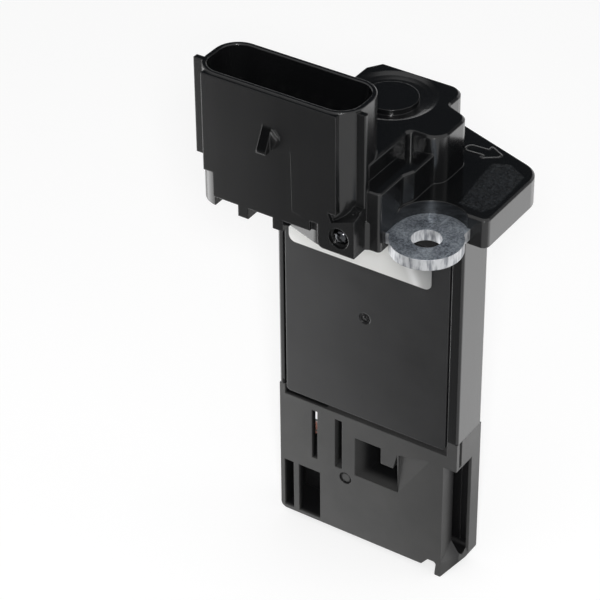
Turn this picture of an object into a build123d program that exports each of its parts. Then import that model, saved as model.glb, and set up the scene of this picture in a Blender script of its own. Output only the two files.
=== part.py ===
from build123d import *
from math import radians, tan
import os

# Plug-in mass airflow sensor: a flange with a moulded connector and electronics tower on top,
# and a flat probe below it that hangs in the intake duct.
# Millimetres. The origin is the middle of the seating face under the flange, on the probe's
# axis. +Z points out of the duct, +X along the air flow, and -Y to the connector's side.

# ---- fits between pieces ----
cover_gap = 0.4            # groove left between a cover and the frame round it
wire_clearance = 0.05      # round a thermistor lead in its hole
ball_clearance = 0.03      # round the vent's ball
tongue_clearance = 0.2     # round the board's tongue where it passes a wall
stake_clearance = 0.02     # round the cover's stake in its post
board_clearance = 0.3      # under the board's lower edge
board_side_gap = 1.75      # between the board and the cavity's sides
board_head_gap = 0.8       # above the board's upper edge
hidden_ledge = 1.6         # width of the step that a cover rests on

# ---- probe ----
probe_width = 36.0
probe_depth = 8.0
frame_length = 44.2        # seating face to the seam with the bypass body, left edge
seam_rise = 1.1            # the seam is this much higher along the rest of the edge
body_height = 26.0         # front of the bypass body under the front cover
probe_edge_r = 0.5
wall = 1.2                 # front and back walls of the probe
rail_left = 1.1            # frame beside the front cover, upstream side
rail_right = 2.0           # frame beside the front cover, downstream side

# ---- front cover and the foil on it ----
cover_top = 5.2            # below the seating face
cover_overhang = 0.9       # how far the cover reaches below the frame
cover_groove = 1.1         # groove between the front cover and the bypass body
cover_corner_r = 0.8
cover_rim_width = 0.8      # locating rim on the cover's inside
cover_rim_height = 0.7
gate_r = 1.1               # moulding gate: a shallow dimple
gate_x = -0.6
gate_z = -23.8
gate_depth = 0.3
foil_thickness = 0.15
foil_left = -15.6
foil_width = 27.8
foil_drop = 0.6            # foil's upper edge below the cover's
foil_height = 7.45
foil_corner_r = 1.3

# ---- flange ----
flange_thickness = 5.3
flange_width = 46.1
flange_depth = 38.3        # between the points where the slanted edges cross the Y axis
flange_shoulder = 6.0      # distance in Y from the axis to where a lug leaves the side
flange_apex_x = -0.5
flange_apex_r = 4.0
flange_corner_r = 1.2
flange_waist_r = 1.0
flange_shoulder_run = 2.0  # beside the well, inwards from the bolt's middle
flange_slant = 18.8        # degrees
flange_end_r = 4.3
flange_edge = 0.35         # chamfer round the upper face
bolt_x = 15.7
bolt_y = 12.0
bolt_hole_r = 2.5

# ---- steel lugs moulded into the flange ----
lug_thickness = 2.0
lug_lift = 0.9             # underside of the lug above the seating face
lug_r = 6.0
lug_strap_half = 4.4       # bare side of the lug's strap
lug_strap_inner = 8.0      # side that runs into the plastic
lug_strap_length = 9.5
lug_strap_front = 2.1
well_r = 6.1               # round well in the plastic over the lug
well_set_back = 1.3

# ---- connector shroud ----
socket_x = -9.05           # middle of the socket
socket_y = -13.4
socket_width = 27.9
socket_depth = 9.4
socket_wall = 0.85
socket_corner_r = 3.5
socket_top = 25.15
socket_floor = 7.5
shroud_bottom = 2.45
rim_edge = 0.15            # chamfer on both sides of the rim
apron_left = 12.55         # reach of the front apron from the middle of the socket
apron_right = 12.6
apron_proud = 0.55         # apron in front of the shroud's wall
apron_drop = 0.25          # apron's top below the rim
apron_bottom = 7.0
fin_reach = 1.25           # guide fin beyond the shroud's side
fin_thickness = 1.0
fin_y = -15.9
fin_bottom = 7.6
fin_drop = 0.5             # right fin's top below the rim
fin_edge_r = 0.3
latch_width = 1.8
latch_x = -9.1
latch_top = 19.2
latch_height = 4.1
latch_proud = 1.9
latch_tip = 0.5            # upright face at the foot of the catch's ramp
gusset_width = 1.3
gusset_drop = 0.4

# ---- feet and boss under the shroud's front ----
foot_width = 1.95
foot_pitch = 6.65
foot_depth = 3.0
foot_bottom = 0.4
foot_first_x = -7.4        # middle of the foot nearest the boss
corner_foot_width = 4.0
corner_foot_depth = 5.0
notch_right = 0.15         # notch between the front wall and the boss
notch_width = 1.45
notch_top = 4.3
boss_right = 6.95
boss_top = 7.8
boss_corner_r = 1.0
cove_left = 1.5            # hollow in the boss's front, under the apron's corner
cove_low = 5.1
cove_r = 3.2
cove_rise = 21.0           # degrees that the hollow climbs towards the boss's right side
vent_x = 4.05
vent_z = 2.85
vent_mouth_r = 1.85
vent_mouth_depth = 0.8
vent_bore_r = 1.5
vent_bore_depth = 4.5
ball_seat = 1.5            # middle of the ball behind the boss's face

# ---- tower over the flange ----
tower_top = 14.1
tower_right = 11.7
tower_back = 14.3
tower_left = -10.6
tower_front = -1.5
tower_neck_x = 5.9         # side of the tower between the tier and the connector
tower_chamfer = 1.8        # cut across the tower's rear left corner
lobe_right = 7.3           # right side of the rear lobe
notch_y = 8.0              # middle of the notch between the lobes
tower_corner_r = 2.8
lobe_corner_r = 2.2
tower_edge = 0.4           # chamfer round the tower's top
tier_top = 10.9
tier_right = 10.3
tier_waist = 9.45          # tier's side in front of its jog
tier_front = -15.9
tier_jog = -8.0
tier_edge = 0.3            # chamfer round the tier's top
pad_x = -2.2
pad_y = 6.2
pad_r = 4.6
pad_drop = 0.1             # pad's top below the tower's top
moat_r = 7.8
moat_depth = 1.1
moat_steps = 4             # conical bands of its floor
moat_curve = 1.6           # 1 would be a straight slope

# ---- terminals ----
pin_count = 8
pin_pitch = 3.0
pin_width = 0.8
pin_thickness = 0.6
pin_tip = 0.2
pin_top = 16.0
pin_run_z = 3.6            # height of the run through the flange
pad_pitch = 2.1            # spacing of the terminals' ends on the board
pad_row_x = -1.0           # middle of that row
pad_length = 1.9           # length of an end on the board

# ---- electronics ----
board_thickness = 1.0
tongue_inset = 13.15       # middle of the tongue from the probe's upstream side
tongue_width = 3.4
tongue_reach = 9.0         # tongue's end below the chamber's ceiling
post_r = 1.4
post_inset = 2.2
package_edge = 0.15
signal_chip_x = 1.5
signal_chip_drop = 13.4    # middle of a part below the board's upper edge
signal_chip_width = 7.0
signal_chip_height = 1.2
capacitor_inset = 8.05         # from the board's upstream edge
capacitor_drop = 11.4
capacitor_pitch = 3.5
capacitor_length = 2.0
capacitor_width = 1.3
capacitor_height = 1.2
pressure_sensor_inset = 4.65   # from the board's downstream edge
pressure_sensor_drop = 7.4
pressure_sensor_width = 5.0
pressure_sensor_height = 1.3
pressure_port_r = 0.8
pressure_port_depth = 0.4
humidity_sensor_inset = 3.55   # from the board's upstream edge
humidity_sensor_rise = 5.1     # above the board's lower edge
humidity_sensor_width = 3.0
humidity_sensor_height = 0.9
flow_chip_drop = 6.1       # middle of the chip below the chamber's ceiling
flow_chip_width = 2.4
flow_chip_length = 4.0
flow_chip_height = 0.5

# ---- bypass body; each inset is measured from the probe's upstream side ----
ceiling_wall = 1.2         # above the upper chambers
shelf_wall = 2.65          # between the upper and the lower chambers
floor_wall = 0.7           # bottom wall under the windows
side_wall = 0.8
pocket_wall = 0.6          # behind the outlet, on the downstream side
chamber_wall_inset = 10.3  # middle of the wall between the thermistor and the flow chip
chamber_wall = 1.0
body_corner_r = 1.2
slot_drop = 0.2            # slots' upper ends below the chamber's ceiling
slot_height = 10.6
slot_a_inset = 7.25
slot_a_width = 1.15
slot_b_inset = 12.2
slot_b_width = 1.45
window_c_width = 1.95
window_d_inset = 3.85
window_d_width = 4.5
scoop_inset = 15.6
scoop_width = 8.9
scoop_drop = 2.65          # scoop's upper edge below the chamber's ceiling
scoop_height = 8.3
scoop_step_start = 5.3     # the front wall comes lower this far right of the scoop's left edge
scoop_step = 3.35
scoop_bevel_foot = 1.1     # the stepped wall ends this far left of the scoop's right edge
scoop_bevel_head = 0.3
scoop_ramp = 1.7           # run of the steep ramp over its depth
scoop_wall = 0.6           # between the ramp and the flow chip's chamber
passage_height = 5.0       # way from the flow chip's chamber into the scoop's duct
exit_reach = 6.1           # shallow facet beside the scoop
exit_rise = 1.2            # its far corner above the scoop's upper edge
exit_depth = 0.8
stake_inset = 13.65
stake_drop = 12.5          # the cover's stake below the chamber's ceiling
stake_r = 0.9
stake_post_wall = 0.8
stake_recess_r = 1.2       # round recess in the front face that holds the melted end
stake_recess_depth = 0.5
stake_sunk = 0.2           # melted end below the front face

# ---- outlet in the probe's downstream edge ----
outlet_drop = 1.45         # outlet's upper end below the chamber's ceiling
outlet_floor = 1.8         # outlet's lower end above the probe's bottom
outlet_step = 2.6          # how far the outlet's lip stands back from the side
outlet_back = 1.2          # Y of the outlet's rear edge
outlet_round = 0.75        # round lower end of the outlet
outlet_corner_r = 1.4      # round corner of the body under the outlet
outlet_cut = 1.3           # the body's side ends this much above the probe's bottom
lip_depth = 3.65           # lip along Y from the probe's front
lip_thickness = 0.9
lip_tail = 1.3             # lip below the probe's bottom
lip_flare_height = 4.0     # over this height the lip's face turns out to the probe's side
lip_notch_width = 3.0
lip_notch_height = 1.6
lip_notch_slant = 1.3      # how far the notch's left side leans
lip_tail_slant = 0.3
lip_foot_r = 0.3
lip_notch_r = 0.4
lip_root_r = 0.6
lip_tip_r = 0.2
port_column = 4.0          # width of the passage behind the outlet
slit_width = 0.8
slit_y = -2.75
slit_depth = 1.0

# ---- bypass cover on the back ----
temp_window_inset = 1.6
temp_window_width = 5.4
temp_window_drop = 0.5
temp_window_height = 8.8
temp_window_corner_r = 0.4

# ---- thermistor ----
bead_r = 0.85
bead_height = 2.6
bead_inset = 4.65
bead_drop = 7.6            # middle of the bead below the chamber's ceiling
lead_r = 0.2
lead_end = 2.0             # bare end of a lead on the board

probe_right = probe_width / 2
probe_front = -probe_depth / 2
probe_back = probe_depth / 2
seam_left = frame_length
seam_right = frame_length - seam_rise
cover_bottom = frame_length + cover_overhang
body_top = cover_bottom + cover_groove
probe_length = body_top + body_height
chamber_top = body_top + ceiling_wall
cover_left = -probe_right + rail_left + cover_gap
cover_right = probe_right - rail_right - cover_gap
cavity_front = probe_front + wall
cavity_back = probe_back - wall
cavity_left = -probe_right + rail_left + hidden_ledge
cavity_right = probe_right - rail_right - hidden_ledge
cavity_top = cover_top + hidden_ledge
cavity_bottom = seam_right - wall
board_front = -board_thickness / 2
board_left = cavity_left + board_side_gap
board_right = cavity_right - board_side_gap
board_top = cavity_top + board_head_gap
board_bottom = cavity_bottom - board_clearance
capacitor_x = board_left + capacitor_inset
pressure_sensor_x = board_right - pressure_sensor_inset
humidity_sensor_x = board_left + humidity_sensor_inset
humidity_sensor_z = -board_bottom + humidity_sensor_rise
flange_half_width = flange_width / 2
shroud_front = socket_y - socket_depth / 2 - socket_wall
apron_front = shroud_front - apron_proud
shroud_half = socket_width / 2 + socket_wall
shroud_corner_r = socket_corner_r + socket_wall
lip_right = notch_right - notch_width
lip_face = probe_right - outlet_step
port_front = probe_front + lip_depth
slot_top = chamber_top + slot_drop
scoop_top = chamber_top + scoop_drop
scoop_bottom = scoop_top + scoop_height
window_top = scoop_bottom + shelf_wall
window_bottom = probe_length - floor_wall
outlet_top = chamber_top + outlet_drop
outlet_bottom = probe_length - outlet_floor
chamber_wall_x = -probe_right + chamber_wall_inset
slot_a_x = -probe_right + slot_a_inset
slot_b_x = -probe_right + slot_b_inset
window_c_left = -probe_right + side_wall
window_d_left = -probe_right + window_d_inset
scoop_left = -probe_right + scoop_inset
scoop_step_x = scoop_left + scoop_step_start
stake_x = -probe_right + stake_inset
bead_x = -probe_right + bead_inset
tongue_x = -probe_right + tongue_inset
temp_window_left = -probe_right + temp_window_inset
bead_z = -chamber_top - bead_drop
stake_z = -chamber_top - stake_drop


def block(x0, x1, y0, y1, z0, z1):
    """A square block between two corners."""
    middle = Pos((x0 + x1) / 2, (y0 + y1) / 2, (z0 + z1) / 2)
    return middle * Box(x1 - x0, y1 - y0, z1 - z0)


def upright_prism(points, z0, z1, radii=0):
    """A plan outline raised from z0 to z1, with a radius for each of its corners."""
    outline = FilletPolyline(*points, radius=radii, close=True) if radii else Polyline(*points, close=True)
    return extrude(Pos(0, 0, z0) * make_face(outline), z1 - z0)


def front_prism(wire, y0, y1):
    """An outline drawn in X and Z, carried along Y from y0 to y1."""
    face = make_face(wire)
    return extrude(Plane((0, y0, 0), x_dir=(1, 0, 0), z_dir=(0, -1, 0)) * face, y0 - y1)


def side_prism(wire, x0, x1):
    """An outline drawn in Y and Z, carried along X from x0 to x1."""
    face = make_face(wire)
    return extrude(Plane((x0, 0, 0), x_dir=(0, 1, 0), z_dir=(1, 0, 0)) * face, x1 - x0)


def front_panel(x0, x1, z0, z1, y0, y1, corner_r):
    """A plate facing the front with four round corners."""
    face = RectangleRounded(x1 - x0, z1 - z0, corner_r)
    wall_plane = Plane(((x0 + x1) / 2, y0, (z0 + z1) / 2), x_dir=(1, 0, 0), z_dir=(0, -1, 0))
    return extrude(wall_plane * face, y0 - y1)


def rounded_tube(half_width, depth, corner_r, z0, z1):
    """A block with round upright edges, centred on the socket."""
    face = RectangleRounded(2 * half_width, depth, corner_r)
    return extrude(Pos(socket_x, socket_y, z0) * face, z1 - z0)


def top_edges(solid):
    """Edges that lie in the solid's highest face."""
    return solid.edges().group_by(Axis.Z)[-1]


def both_ends(shape):
    """The shape and its copy half a turn round the probe's axis."""
    return shape + Rot(0, 0, 180) * shape


def lug():
    """A round steel eye with a strap that runs back into the plastic."""
    eye = Pos(bolt_x, -bolt_y) * Circle(lug_r)
    strap_width = lug_strap_half + lug_strap_inner
    strap_middle = bolt_x + (lug_strap_half - lug_strap_inner) / 2
    strap_run = lug_strap_front + lug_strap_length
    strap = Pos(strap_middle, -bolt_y - lug_strap_front + strap_run / 2) * Rectangle(strap_width, strap_run)
    hole = Pos(bolt_x, -bolt_y) * Circle(bolt_hole_r)
    return extrude(Pos(0, 0, lug_lift) * (eye + strap - hole), lug_thickness)


def flange():
    """A rhombic plate, the same after half a turn, with a round well over each lug."""
    def slanted_edge(x):
        return flange_depth / 2 - x * tan(radians(flange_slant))

    half = [
        (flange_half_width, -flange_shoulder),
        (flange_half_width, slanted_edge(flange_half_width)),
        (flange_apex_x, slanted_edge(flange_apex_x)),
        (-tier_waist, bolt_y + well_r / 2),
        (-tier_waist, bolt_y - well_set_back),
        (-bolt_x + flange_shoulder_run, flange_shoulder),
    ]
    other_half = [(-x, -y) for x, y in half]
    corner_radii = [flange_corner_r, flange_end_r, flange_apex_r, flange_waist_r, 0, 0]
    plate = upright_prism(half + other_half, 0, flange_thickness, corner_radii + corner_radii)
    plate = chamfer(top_edges(plate), flange_edge)
    well = Pos(bolt_x, -bolt_y + well_set_back, flange_thickness / 2) * Cylinder(well_r, 2 * flange_thickness)
    return plate - both_ends(well)


def tower():
    """The electronics tower: two lobes, a round pad in a scooped moat, and a lower tier."""
    outline = [
        (tower_neck_x, socket_y),
        (tower_neck_x, tower_front),
        (tower_right, tower_front),
        (tower_right, notch_y - 1),
        (lobe_right, notch_y + 0.8),
        (lobe_right, tower_back),
        (tower_left + tower_chamfer, tower_back),
        (tower_left, tower_back - 1.5 * tower_chamfer),
        (tower_left, socket_y),
    ]
    radii = [0, 0.8, tower_corner_r, lobe_corner_r, 0.9, tower_corner_r, 0.7, 0.7, 0]
    main = upright_prism(outline, 0, tower_top, radii)
    main = chamfer(top_edges(main), tower_edge)

    # the moat is deepest at the pad, and its floor climbs ever more steeply towards the rim
    pad_top = tower_top - pad_drop
    shares = [step / moat_steps for step in range(moat_steps + 1)]
    sweep_up = [(pad_r + (moat_r - pad_r) * share, tower_top - moat_depth * (1 - share ** moat_curve))
                for share in shares]
    moat_wire = Polyline((pad_r, tower_top + 1), *sweep_up, (moat_r, tower_top + 1), close=True)
    moat = revolve(Plane.XZ * make_face(moat_wire), Axis.Z)
    main -= Pos(pad_x, pad_y) * moat
    main -= Pos(pad_x, pad_y, pad_top + 0.5) * Cylinder(pad_r + 0.01, 1)

    tier_outline = [
        (0, tier_front),
        (tier_waist, tier_front),
        (tier_waist, tier_jog - 1),
        (tier_right, tier_jog + 1),
        (tier_right, tower_front + 1),
        (0, tower_front + 1),
    ]
    tier = upright_prism(tier_outline, 0, tier_top, [0, 0.6, 0.7, 0.7, 0, 0])
    tier = chamfer(top_edges(tier), tier_edge)
    return main + tier


def latch():
    """A ramped catch for the plug, with a gusset on its right side."""
    base = apron_front
    tip = base - latch_proud
    low = latch_top - latch_height
    root = base + apron_proud
    ramp = side_prism(
        Polyline((root, latch_top), (base, latch_top), (tip, low + latch_tip), (tip, low), (root, low),
                 close=True),
        latch_x - latch_width / 2, latch_x + latch_width / 2,
    )
    gusset_side = latch_x + latch_width / 2
    gusset_top = latch_top - gusset_drop
    gusset = front_prism(
        Polyline((gusset_side, gusset_top), (gusset_side + gusset_width, gusset_top - gusset_width),
                 (gusset_side, low), close=True),
        base - latch_proud / 3, root,
    )
    return ramp + gusset


def socket():
    """The hollow that the plug goes into."""
    return rounded_tube(socket_width / 2, socket_depth, socket_corner_r, socket_floor, socket_top + 1)


def shroud():
    """The connector: a round-cornered tube with an apron, two guide fins and a catch."""
    outer_depth = socket_depth + 2 * socket_wall
    tube = rounded_tube(shroud_half, outer_depth, shroud_corner_r, shroud_bottom, socket_top) - socket()
    tube = chamfer(top_edges(tube), rim_edge)
    apron = block(socket_x - apron_left, socket_x + apron_right, apron_front, socket_y,
                  apron_bottom, socket_top - apron_drop)
    low_front = block(socket_x - shroud_half + corner_foot_width, lip_right, apron_front, socket_y,
                      shroud_bottom, apron_bottom)
    fin_y0 = fin_y - fin_thickness / 2
    fin_y1 = fin_y + fin_thickness / 2
    left_fin = block(socket_x - shroud_half - fin_reach, socket_x, fin_y0, fin_y1, fin_bottom, socket_top)
    right_fin = block(socket_x, socket_x + shroud_half + fin_reach, fin_y0, fin_y1,
                      fin_bottom, socket_top - fin_drop)
    right_fin = fillet(right_fin.edges().filter_by(Axis.Z).group_by(Axis.X)[-1], fin_edge_r)
    return tube + apron + low_front + left_fin + right_fin + latch()


def boss():
    """The block at the foot of the shroud: a notch on its left and a climbing hollow above its face."""
    profile = Polyline(
        (lip_right, boss_top), (lip_right, notch_top), (notch_right, notch_top), (notch_right, 0),
        (boss_right, 0), (boss_right, boss_top), close=True,
    )
    solid = front_prism(profile, apron_front, socket_y)
    lower_left = solid.edges().filter_by(Axis.Y).group_by(Axis.Z)[0].sort_by(Axis.X)[0]
    solid = fillet(lower_left, boss_corner_r)
    length = 2 * (boss_right - cove_left)
    start = Pos(cove_left, apron_front, cove_low + cove_r) * Rot(0, -cove_rise, 0)
    return solid - start * Pos(length / 2, 0, 0) * Rot(0, 90, 0) * Cylinder(cove_r, length)


def vent():
    """The stepped hole in the boss."""
    axis = Pos(vent_x, apron_front, vent_z) * Rot(90, 0, 0)
    mouth = Cylinder(vent_mouth_r, 2 * vent_mouth_depth)
    bore = Cylinder(vent_bore_r, 2 * vent_bore_depth)
    return axis * (mouth + bore)


def feet():
    """A round corner foot and two straight feet under the shroud's front wall."""
    outer_depth = socket_depth + 2 * socket_wall
    corner = rounded_tube(shroud_half, outer_depth, shroud_corner_r, foot_bottom, shroud_bottom)
    corner_right = socket_x - shroud_half + corner_foot_width
    corner &= block(socket_x - shroud_half, corner_right, shroud_front, shroud_front + corner_foot_depth,
                    foot_bottom, shroud_bottom)
    group = corner
    for number in range(2):
        middle = foot_first_x - number * foot_pitch
        group += block(middle - foot_width / 2, middle + foot_width / 2, apron_front,
                       apron_front + foot_depth, foot_bottom, shroud_bottom)
    return group


def probe_frame():
    """The probe's upper half: a tray open to the front, with a step for its cover."""
    frame = block(-probe_right, probe_right, probe_front, probe_back, -seam_right, 0)
    frame += block(-probe_right, -probe_right + rail_left, probe_front, probe_back, -seam_left, 0)
    frame = fillet(frame.edges().filter_by(Axis.Z), probe_edge_r)
    return frame


def pin(number):
    """One terminal: a blade in the socket, a run through the flange and a foot on the board."""
    from_middle = number - (pin_count - 1) / 2
    top_x = socket_x + from_middle * pin_pitch
    foot_x = pad_row_x + from_middle * pad_pitch
    blade_y = socket_y
    foot_y = board_front - pin_thickness / 2
    half = pin_width / 2
    blade = block(top_x - half, top_x + half, blade_y - pin_thickness / 2, blade_y + pin_thickness / 2,
                  pin_run_z, pin_top)
    blade = chamfer(top_edges(blade), pin_tip)
    foot = block(foot_x - half, foot_x + half, foot_y - pin_thickness / 2, foot_y + pin_thickness / 2,
                 -board_top - pad_length, pin_run_z)
    run = Pos(0, 0, pin_run_z) * extrude(
        trace(Line((top_x, blade_y - pin_thickness / 2), (foot_x, foot_y + pin_thickness / 2)), pin_width),
        pin_thickness)
    return blade + run + foot


def vent_ball():
    """The steel ball that closes the boss's vent."""
    return Pos(vent_x, apron_front + ball_seat, vent_z) * Sphere(vent_bore_r - ball_clearance)


def board_posts():
    """Four posts on the cavity's back wall that the circuit board rests on."""
    posts = []
    for x in (board_left + post_inset, board_right - post_inset):
        for z in (-board_top - post_inset, -board_bottom + post_inset):
            length = cavity_back - board_thickness / 2
            middle = Pos(x, board_thickness / 2 + length / 2, z)
            posts.append(middle * Rot(90, 0, 0) * Cylinder(post_r, length))
    return posts


def tongue_slot(z0, z1):
    """The way through a wall for the board's tongue."""
    half = tongue_width / 2 + tongue_clearance
    depth = board_thickness / 2 + tongue_clearance
    return block(tongue_x - half, tongue_x + half, -depth, depth, z0, z1)


def lead_path(side):
    """A thermistor lead's line: out of the bead, across to the wall and up to the board's face."""
    face_y = side * (board_thickness / 2 + lead_r)
    return Polyline(
        (bead_x, side * bead_r / 2, bead_z),
        (chamber_wall_x, face_y, bead_z),
        (chamber_wall_x, face_y, lead_end - board_bottom),
    )


def lead(side, radius):
    """A round wire of the given radius along a lead's line."""
    path = lead_path(side)
    start = Plane(path @ 0, z_dir=path % 0)
    return sweep(start * Circle(radius), path=path, transition=Transition.RIGHT)


def thermistor_leads():
    """The two bare wires of the air temperature bead."""
    return lead(-1, lead_r) + lead(1, lead_r)


def thermistor_bead():
    """A glass bead, longer than wide, moulded round the ends of its two leads."""
    straight = bead_height - 2 * bead_r
    bead = Cylinder(bead_r, straight) + Pos(0, 0, straight / 2) * Sphere(bead_r)
    bead += Pos(0, 0, -straight / 2) * Sphere(bead_r)
    return Pos(bead_x, 0, bead_z) * bead - thermistor_leads()


def terminals():
    """All the terminals, from the upstream end of the socket."""
    return [pin(number) for number in range(pin_count)]


def housing():
    """The one moulding: connector, tower, flange and the probe's upper frame."""
    body = probe_frame() + flange() + tower() + shroud() + boss() + feet()
    body -= socket()
    body -= vent()
    body -= block(-probe_right + rail_left, probe_right - rail_right, probe_front - 1, cavity_front,
                  -probe_length, -cover_top + cover_gap / 2)
    body -= block(cavity_left, cavity_right, cavity_front - 1, cavity_back, -cavity_bottom, -cavity_top)
    body += board_posts()
    body -= tongue_slot(-seam_right - 1, -cavity_bottom + 1)
    body -= both_ends(lug())
    body -= terminals()
    for side in (-1, 1):
        body -= lead(side, lead_r + wire_clearance)
    return body


def front_cover():
    """The flush front cover, with a locating rim on its inside and a gate dimple outside."""
    plate = front_panel(cover_left, cover_right, -cover_bottom, -cover_top, probe_front, cavity_front,
                        cover_corner_r)
    rim_back = cavity_front + cover_rim_height
    outer_gap = cover_gap / 2
    inner_gap = outer_gap + cover_rim_width
    outer = block(cavity_left + outer_gap, cavity_right - outer_gap, cavity_front, rim_back,
                  -cavity_bottom + outer_gap, -cavity_top - outer_gap)
    inner = block(cavity_left + inner_gap, cavity_right - inner_gap, cavity_front, rim_back,
                  -cavity_bottom + inner_gap, -cavity_top - inner_gap)
    dimple = Pos(gate_x, probe_front, gate_z) * Rot(90, 0, 0) * Cylinder(gate_r, 2 * gate_depth)
    return plate + (outer - inner) - dimple


def foil_sheet():
    """A blank foil stuck on the front cover under the flange."""
    top = -cover_top - foil_drop
    return front_panel(foil_left, foil_left + foil_width, top - foil_height, top,
                       probe_front - foil_thickness, probe_front, foil_corner_r)


def circuit_board():
    """The board in the cavity, with a tongue down into the sensing chamber."""
    half = board_thickness / 2
    plate = block(board_left, board_right, -half, half, -board_bottom, -board_top)
    tongue = block(tongue_x - tongue_width / 2, tongue_x + tongue_width / 2, -half, half,
                      -chamber_top - tongue_reach, -board_bottom)
    return plate + tongue


def package(x, z, width, length, height):
    """A square-edged part soldered on the board's front, with its top edges broken."""
    body = block(x - width / 2, x + width / 2, board_front - height, board_front,
                 z - length / 2, z + length / 2)
    return chamfer(body.edges().group_by(Axis.Y)[0], package_edge)


def signal_chip():
    """The chip that turns the bridge's voltages into the signal."""
    return package(signal_chip_x, -board_top - signal_chip_drop, signal_chip_width, signal_chip_width,
                   signal_chip_height)


def capacitors():
    """Two chip capacitors beside the signal chip."""
    first = package(capacitor_x, -board_top - capacitor_drop, capacitor_length, capacitor_width,
                    capacitor_height)
    return first + Pos(0, 0, -capacitor_pitch) * first


def pressure_sensor():
    """A barometric sensor: a small box with a round port."""
    z = -board_top - pressure_sensor_drop
    body = package(pressure_sensor_x, z, pressure_sensor_width, pressure_sensor_width,
                   pressure_sensor_height)
    port = Pos(pressure_sensor_x, board_front - pressure_sensor_height, z) * Rot(90, 0, 0)
    return body - port * Cylinder(pressure_port_r, 2 * pressure_port_depth)


def humidity_sensor():
    """A small flat package near the board's lower edge."""
    return package(humidity_sensor_x, humidity_sensor_z, humidity_sensor_width, humidity_sensor_width,
                   humidity_sensor_height)


def flow_chip():
    """The heated membrane's chip on the board's tongue, out in the air flow."""
    return package(tongue_x, -chamber_top - flow_chip_drop, flow_chip_width, flow_chip_length,
                   flow_chip_height)


def bypass_outline():
    """The body's front view, with a cut at the lower right and the tail of the outlet's lip."""
    bottom = -probe_length
    notch_right_x = lip_face - lip_thickness
    notch_left_x = notch_right_x - lip_notch_width
    return FilletPolyline(
        (-probe_right, -body_top),
        (-probe_right, bottom),
        (notch_left_x, bottom),
        (notch_left_x + lip_notch_slant, bottom + lip_notch_height),
        (notch_right_x, bottom + lip_notch_height),
        (notch_right_x - lip_tail_slant, bottom - lip_tail),
        (lip_face, bottom - lip_tail),
        (probe_right, bottom + outlet_cut),
        (probe_right, -body_top),
        radius=[0, body_corner_r, lip_foot_r, lip_notch_r, lip_root_r, lip_tip_r, lip_foot_r, outlet_corner_r,
                0],
        close=True,
    )


def outlet_recess():
    """The cut in the downstream edge: square above, with a slanted wedge left standing at its foot."""
    outer = probe_right + 1
    below = -probe_length - 2 * lip_tail
    square = [(lip_face, probe_front - 1), (outer, probe_front - 1), (outer, outlet_back),
              (lip_face, outlet_back)]
    plan = [(lip_face, probe_front), (probe_right, outlet_back), (lip_face, outlet_back)]
    wedge_top = lip_flare_height - outlet_bottom
    front_foot = Vector(lip_face, probe_front, -outlet_bottom)
    side_foot = Vector(probe_right, outlet_back, -outlet_bottom)
    head = Vector(lip_face, outlet_back, wedge_top)
    wedge = upright_prism(plan, below, wedge_top) - beyond(front_foot, side_foot, head, Vector(1, 0, 0))
    return upright_prism(square, below, -outlet_top) - wedge


def outlet_port():
    """The round-ended way from the recess into the duct."""
    slot = side_prism(
        FilletPolyline((port_front, -outlet_top), (cavity_back, -outlet_top), (cavity_back, -outlet_bottom),
                       (port_front, -outlet_bottom), radius=[0, 0, outlet_round, outlet_round], close=True),
        lip_face - lip_thickness - side_wall, probe_right - pocket_wall,
    )
    return slot


def scoop():
    """The front outlet: a steep ramp on its left, a flat floor, and a stepped upper edge."""
    right = scoop_left + scoop_width
    step_z = -scoop_top - scoop_step
    mouth = front_prism(
        Polyline((scoop_left, -scoop_bottom), (scoop_left, -scoop_top), (scoop_step_x, -scoop_top),
                 (scoop_step_x, step_z), (right - scoop_bevel_foot, step_z),
                 (right - scoop_bevel_head, -scoop_top), (right, -scoop_bottom), close=True),
        probe_front - 1, cavity_back,
    )
    depth = probe_depth - 2 * wall
    ramp = upright_prism(
        [(scoop_left, probe_front - 1), (scoop_left, probe_front),
         (scoop_left + scoop_ramp, probe_front + depth), (scoop_left + scoop_ramp, cavity_back),
         (right, cavity_back), (right, probe_front - 1)],
        -scoop_bottom, -scoop_top,
    )
    return mouth & ramp


def beyond(first, second, third, outwards):
    """All that lies on the outward side of the plane through three points."""
    normal = (second - first).cross(third - first)
    if normal.dot(outwards) < 0:
        normal = -normal
    side = 2 * probe_width
    return Plane(first, x_dir=second - first, z_dir=normal) * Pos(0, 0, side / 2) * Box(side, side, side)


def exit_facet():
    """A shallow triangular facet that leads out of the scoop on its right."""
    left = scoop_left + scoop_width
    low = Vector(left, probe_front, -scoop_bottom)
    far = Vector(left + exit_reach, probe_front, -scoop_top + exit_rise)
    deep = Vector(left, probe_front + exit_depth, -scoop_top)
    outline = Polyline((low.X, low.Z), (far.X, far.Z), (deep.X, deep.Z), close=True)
    prism = front_prism(outline, probe_front - 1, probe_front + 2 * exit_depth)
    return prism & beyond(low, far, deep, Vector(0, -1, 0))


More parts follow.
